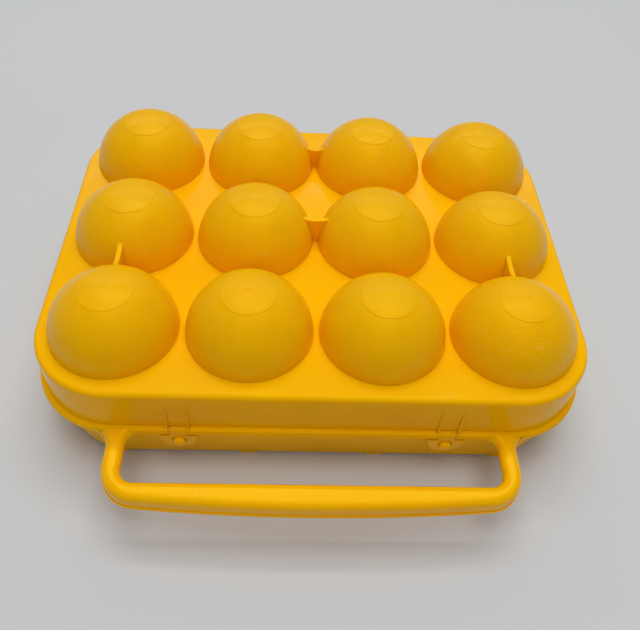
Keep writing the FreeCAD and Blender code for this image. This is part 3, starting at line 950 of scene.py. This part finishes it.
def model_tongue(name, node, shell, latch):
    """Snap tongue: a tapered plate with a hole, and a strap that bends over the rim."""
    x = middle(node).x
    front, bottom = low(node).y, low(node).z
    back = front + latch.tongue_thick
    shoulder = RIM_TOP - shell.rim_height - latch.shoulder_drop
    half = size(node).x / 2
    tongue = block(name, (x - half, front, bottom), (x + half, back, shoulder))
    with editing(tongue):
        pick(tongue, "VERT", lambda vertex: vertex.co.z < bottom + NEAR)
        stretch((x, 0, 0), x=latch.foot_width / (2 * half))
        pick(tongue, "EDGE", lambda edge: is_cross_edge(edge) and level(bottom)(edge))
        bevel(latch.tongue_corner, SMALL_SEGMENTS)
        pick(tongue, "EDGE", lambda edge: is_cross_edge(edge) and level(shoulder)(edge))
        bevel(SHOULDER_EDGE, SMALL_SEGMENTS)
        raise_strap(tongue, x, front, back, shoulder, latch, shell.rim_edge)
        lean_tongue(tongue, bottom, shoulder, latch.lean)
    hole_z = middle(node.replace("tongue", "stud")).z
    hole = drum("hole", latch.hole_radius, (x, front - MM, hole_z), (x, back + MM, hole_z), PIN_SEGMENTS)
    cut(tongue, [hole])
    apply(tongue, "BEVEL", width=latch.edge, segments=2, limit_method="ANGLE", angle_limit=SHARP_ANGLE)
    return tongue


def is_cross_edge(edge):
    """True for an edge that runs from front to back."""
    step = edge.verts[0].co - edge.verts[1].co
    return abs(step.y) > 0.9 * step.length


def lean_tongue(tongue, bottom, top, lean):
    """Leans the plate towards the skirt in four bands, the lowest one furthest."""
    bands = [bottom + (top - bottom) * share_up for share_up in (0.0, 0.25, 0.5, 0.75, 1.0)]
    for z in bands[1:-1]:
        slice_at((0, 0, z), (0, 0, 1))
    for number, (start, end) in enumerate(zip(bands, bands[1:])):
        pick(tongue, "VERT", lambda vertex: start - NEAR <= vertex.co.z < end - NEAR)
        slide(y=lean * (1 - number / 4))


def raise_strap(tongue, x, front, back, shoulder, latch, rounding):
    """Raises the strap from the plate and turns it back to the lid."""
    half = latch.strap_width / 2
    bend = RIM_TOP - latch.tongue_thick
    for place in (x - half, x + half):
        slice_at((place, 0, 0), (1, 0, 0))
    pick(tongue, "FACE", lambda face: level(shoulder)(face) and abs(face.calc_center_median().x - x) < half)
    extrude(z=bend - shoulder)
    extrude(z=latch.tongue_thick)
    pick(tongue, "FACE", lambda face: face.normal.y > 0.9 and face.calc_center_median().z > bend)
    extrude(y=LID_FRONT - back)
    pick(tongue, "EDGE", lambda edge: level(RIM_TOP)(edge) and all(
        vertex.co.y < front + NEAR for vertex in edge.verts))
    bevel(rounding, EDGE_SEGMENTS)


def model_stud(name, node, latch):
    """Button under a tongue: a neck and a rounded head with a small dimple."""
    centre = middle(node)
    foot = high(node).y
    head = size(node).x / 2
    back = size(node).y - latch.stud_head
    front = size(node).y + latch.stud_crown
    bend = latch.stud_round
    rings = [(latch.stud_neck, 0.0), (latch.stud_neck, back), (head, back + 0.1 * MM), (head, front - bend)]
    for step in range(1, 7):
        angle = math.pi / 2 * step / 6
        rings.append((head - bend * (1 - math.cos(angle)), front - bend * (1 - math.sin(angle))))
    rings += [(0.5 * MM, front - 0.12 * MM), (0.2 * MM, front - 0.16 * MM)]
    return turned(name, (centre.x, foot, centre.z), (0, -1, 0), rings, PIN_SEGMENTS, closed=True)


# Hinge pieces

def hinge_axis():
    """Depth and height of the lid's hinge."""
    place = next(joint for joint in frame["joints"] if joint["child"] == "lid")["pos_m"]
    return place[1], place[2]


def model_knuckle(name, node, pin_radius, is_eye):
    """A hinge knuckle: a round eye, an arm up to the lid or down to the base, and a bore."""
    y, z = hinge_axis()
    start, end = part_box(node)
    radius = end.y - y
    knuckle = drum(name, radius, (start.x, y, z), (end.x, y, z), PIN_SEGMENTS)
    arm_low = z if is_eye else max(start.z, z - radius)
    arm_high = end.z if is_eye else z
    cut(knuckle, [block("arm", (start.x, start.y, arm_low), (end.x, y, arm_high))], "UNION")
    bore = drum("bore", pin_radius + PIN_GAP, (start.x - MM, y, z), (end.x + MM, y, z), PIN_SEGMENTS)
    cut(knuckle, [bore])
    apply(knuckle, "BEVEL", width=KNUCKLE_EDGE, segments=2, limit_method="ANGLE", angle_limit=SHARP_ANGLE)
    return knuckle


def model_pin(name, node):
    """A hinge pin with rounded ends."""
    centre = middle(node)
    radius = size(node).y / 2
    span = size(node).x
    tip = radius - PIN_EDGE
    rings = [(tip, 0.0), (radius, PIN_EDGE), (radius, span - PIN_EDGE), (tip, span)]
    return turned(name, (low(node).x, centre.y, centre.z), (1, 0, 0), rings, 40, closed=True)


# Stage

def pale_floor(stage):
    """Matt paper with the faintest fibre."""
    shading = Shading("floor_paper")
    cloud = shading.between(shading.noise(3.0, 4.0), 0.3, 0.7)
    darker = tuple(channel * 0.97 for channel in stage.floor)
    colour = shading.blend(cloud, opaque(stage.floor), opaque(darker))
    shading.feed(shading.shader.inputs["Base Color"], colour)
    fibre = shading.bump(0.05, 0.1 * MM, shading.noise(900.0, 3.0))
    shading.feed(shading.shader.inputs["Normal"], fibre.outputs[0])
    shading.shader.inputs["Roughness"].default_value = 0.75
    return shading.material


def add_lamp(name, place, long_side, short_side, power):
    """A soft rectangular lamp that points at the origin."""
    bpy.ops.object.light_add(type="AREA", location=place)
    lamp = bpy.context.object
    lamp.name = name
    lamp.data.shape = "RECTANGLE"
    lamp.data.size = long_side
    lamp.data.size_y = short_side
    lamp.data.energy = power
    lamp.rotation_euler = (-lamp.location).to_track_quat("-Z", "Y").to_euler()
    return lamp


def set_sky(stage):
    """Even pale light from all round."""
    world = bpy.data.worlds.new("studio_sky")
    world.use_nodes = True
    bpy.context.scene.world = world
    background = world.node_tree.nodes["Background"]
    background.inputs["Color"].default_value = (0.95, 0.97, 1.0, 1.0)
    background.inputs["Strength"].default_value = stage.sky


def set_camera(stage):
    """The viewpoint: from the front and above, slightly left and slightly rolled."""
    azimuth, elevation, roll = (math.radians(angle) for angle in (-4.54, 49.66, 4.97))
    target = Vector((1.54 * MM, -28.72 * MM, DECK_TOP))
    flat = math.cos(elevation)
    forward = Vector((-math.sin(azimuth) * flat, math.cos(azimuth) * flat, -math.sin(elevation)))
    right = forward.cross(Vector((0, 0, 1))).normalized()
    up = right.cross(forward)
    across = right * math.cos(roll) + up * math.sin(roll)
    upwards = up * math.cos(roll) - right * math.sin(roll)
    bpy.ops.object.camera_add()
    camera = bpy.context.object
    camera.name = "front_camera"
    turn = Matrix((across, upwards, -forward)).transposed().to_4x4()
    camera.matrix_world = Matrix.Translation(target - forward * stage.camera_distance) @ turn
    camera.data.lens = stage.camera_lens
    camera.data.sensor_width = 36.0
    camera.data.clip_start = 0.01
    bpy.context.scene.camera = camera


# Operators

def spread_bowl(model, shell, kind, name, body, node):
    """Models the first bowl, copies it to every egg place and removes the first."""
    places = list(egg_places())
    first_x, first_y = places[0][2:]
    pattern = model(f"{name}_pattern", first_x, first_y, shell)
    dress(pattern, kind)
    for row, column, x, y in places:
        bowl = copy_of(pattern, f"{name}_{row}_{column}", x - first_x, y - first_y)
        seat(bowl, body, f"{body}_plastic", f"{node}_{row}_{column}")
    bpy.data.objects.remove(pattern)


class EggBoxOperator:
    """What all the egg box operators share."""

    bl_options = {"REGISTER", "UNDO"}

    @property
    def shell(self):
        return bpy.context.scene.egg_box_shell

    @property
    def latch(self):
        return bpy.context.scene.egg_box_latch


class OBJECT_OT_egg_box_lid(EggBoxOperator, bpy.types.Operator):
    """Model the lid's deck and wall"""

    bl_idname = "object.egg_box_lid"
    bl_label = "Lid Cover"

    def execute(self, context):
        cover = model_lid_cover(self.shell)
        dress(cover, "lid")
        seat(cover, "lid", "lid_plastic", "lid_wall", *DECK_STRIPS["lid"])
        return {"FINISHED"}


class OBJECT_OT_egg_box_fins(EggBoxOperator, bpy.types.Operator):
    """Model the pointed fins over the latches"""

    bl_idname = "object.egg_box_fins"
    bl_label = "Latch Fins"

    def execute(self, context):
        for side in SIDES:
            x = middle(f"latch_tongue_{side}").x
            for number, offset in ((1, -self.latch.rib_spacing / 2), (2, self.latch.rib_spacing / 2)):
                fin = model_fin(f"latch_fin_{side}_{number}", x + offset, self.latch, self.shell.wall)
                dress(fin, "lid")
                seat(fin, "lid", "lid_plastic")
        return {"FINISHED"}


class OBJECT_OT_egg_box_domes(EggBoxOperator, bpy.types.Operator):
    """Model one dome and copy it over every egg place"""

    bl_idname = "object.egg_box_domes"
    bl_label = "Domes"

    def execute(self, context):
        spread_bowl(model_dome, self.shell, "dome", "dome", "lid", "lid_dome")
        return {"FINISHED"}


class OBJECT_OT_egg_box_webs(EggBoxOperator, bpy.types.Operator):
    """Model the thin walls between domes"""

    bl_idname = "object.egg_box_webs"
    bl_label = "Webs"

    def execute(self, context):
        for node in ("web_middle", "web_rear", "web_left", "web_right"):
            web = model_web(node, self.shell)
            dress(web, "lid")
            seat(web, "lid", "lid_plastic", node)
        return {"FINISHED"}


class OBJECT_OT_egg_box_tray(EggBoxOperator, bpy.types.Operator):
    """Model the base's deck, rim and skirt"""

    bl_idname = "object.egg_box_tray"
    bl_label = "Base Tray"

    def execute(self, context):
        tray = model_base_tray(self.shell, self.latch)
        dress(tray, "base")
        seat(tray, "base", "base_plastic", "base_rim", *DECK_STRIPS["base"])
        return {"FINISHED"}


class OBJECT_OT_egg_box_cups(EggBoxOperator, bpy.types.Operator):
    """Model one egg cup and copy it to every egg place"""

    bl_idname = "object.egg_box_cups"
    bl_label = "Egg Cups"

    def execute(self, context):
        spread_bowl(model_cup, self.shell, "base", "cup", "base", "egg_cup")
        return {"FINISHED"}


class OBJECT_OT_egg_box_handle(EggBoxOperator, bpy.types.Operator):
    """Model the carry handle"""

    bl_idname = "object.egg_box_handle"
    bl_label = "Carry Handle"

    def execute(self, context):
        bow = model_handle(context.scene.egg_box_handle, self.shell)
        dress(bow, "handle")
        seat(bow, "base", "base_plastic", "carry_handle")
        return {"FINISHED"}


class OBJECT_OT_egg_box_latches(EggBoxOperator, bpy.types.Operator):
    """Model the snap tongues and the studs under them"""

    bl_idname = "object.egg_box_latches"
    bl_label = "Latches"

    def execute(self, context):
        for side in SIDES:
            tongue = model_tongue(f"tongue_{side}", f"latch_tongue_{side}", self.shell, self.latch)
            dress(tongue, "latch")
            seat(tongue, f"latch_{side}", "lid_plastic", f"latch_tongue_{side}")
            stud = model_stud(f"stud_{side}", f"latch_stud_{side}", self.latch)
            dress(stud, "latch")
            seat(stud, "base", "base_plastic", f"latch_stud_{side}")
        return {"FINISHED"}


class OBJECT_OT_egg_box_hinges(EggBoxOperator, bpy.types.Operator):
    """Model the rear hinges"""

    bl_idname = "object.egg_box_hinges"
    bl_label = "Hinges"

    def execute(self, context):
        for side in SIDES:
            pin_radius = size(f"hinge_pin_{side}").y / 2
            knuckles = [(f"hinge_eye_{side}", "lid", "lid_plastic")]
            knuckles += [(f"hinge_lug_{side}_{end}", "base", "base_plastic") for end in ("outer", "inner")]
            for node, body, slot in knuckles:
                knuckle = model_knuckle(f"{node}_round", node, pin_radius, body == "lid")
                dress(knuckle, "hinge")
                seat(knuckle, body, slot, node)
            pin = model_pin(f"pin_{side}", f"hinge_pin_{side}")
            dress(pin, "hinge")
            seat(pin, "base", "pin_plastic", f"hinge_pin_{side}")
        return {"FINISHED"}


class OBJECT_OT_egg_box_stage(EggBoxOperator, bpy.types.Operator):
    """Set up the floor, lamps, sky and camera"""

    bl_idname = "object.egg_box_stage"
    bl_label = "Stage"

    def execute(self, context):
        stage = context.scene.egg_box_stage
        bpy.ops.object.select_all(action="DESELECT")
        bpy.ops.mesh.primitive_plane_add(size=8)
        floor = bpy.context.object
        floor.name = "floor"
        floor.data.materials.append(pale_floor(stage))
        for name, (place, long_side, short_side, power) in LAMPS.items():
            lamp = add_lamp(name, place, long_side, short_side, power)
            if name == "front_lamp":
                lamp.data.color = stage.warm
        set_sky(stage)
        set_camera(stage)
        context.scene.view_settings.view_transform = "Standard"
        return {"FINISHED"}


class VIEW3D_PT_egg_box(bpy.types.Panel):
    """Lists the egg box operators and settings."""

    bl_label = "Egg Box"
    bl_idname = "VIEW3D_PT_egg_box"
    bl_space_type = "VIEW_3D"
    bl_region_type = "UI"
    bl_category = "Egg Box"

    def draw(self, context):
        for operator in OPERATORS:
            self.layout.operator(operator.bl_idname)
        for name, group in SETTINGS.items():
            box = self.layout.box()
            box.label(text=group.__doc__)
            for setting in group.__annotations__:
                box.prop(getattr(context.scene, name), setting)


SETTINGS = {
    "egg_box_shell": EggBoxShell,
    "egg_box_handle": EggBoxHandle,
    "egg_box_latch": EggBoxLatch,
    "egg_box_finish": EggBoxFinish,
    "egg_box_stage": EggBoxStage,
}

OPERATORS = (
    OBJECT_OT_egg_box_lid,
    OBJECT_OT_egg_box_fins,
    OBJECT_OT_egg_box_domes,
    OBJECT_OT_egg_box_webs,
    OBJECT_OT_egg_box_tray,
    OBJECT_OT_egg_box_cups,
    OBJECT_OT_egg_box_handle,
    OBJECT_OT_egg_box_latches,
    OBJECT_OT_egg_box_hinges,
    OBJECT_OT_egg_box_stage,
)


def register():
    """Registers the settings, operators and panel."""
    for name, group in SETTINGS.items():
        bpy.utils.register_class(group)
        setattr(bpy.types.Scene, name, PointerProperty(type=group))
    for operator in OPERATORS:
        bpy.utils.register_class(operator)
    bpy.utils.register_class(VIEW3D_PT_egg_box)


def unregister():
    """Removes the panel, operators and settings."""
    bpy.utils.unregister_class(VIEW3D_PT_egg_box)
    for operator in reversed(OPERATORS):
        bpy.utils.unregister_class(operator)
    for name, group in SETTINGS.items():
        delattr(bpy.types.Scene, name)
        bpy.utils.unregister_class(group)


def main():
    """Builds the whole egg box and its stage."""
    register()
    bpy.ops.object.egg_box_lid()
    bpy.ops.object.egg_box_fins()
    bpy.ops.object.egg_box_domes()
    bpy.ops.object.egg_box_webs()
    bpy.ops.object.egg_box_tray()
    bpy.ops.object.egg_box_cups()
    bpy.ops.object.egg_box_handle()
    bpy.ops.object.egg_box_latches()
    bpy.ops.object.egg_box_hinges()
    bpy.ops.object.egg_box_stage()


if __name__ == "__main__":
    main()
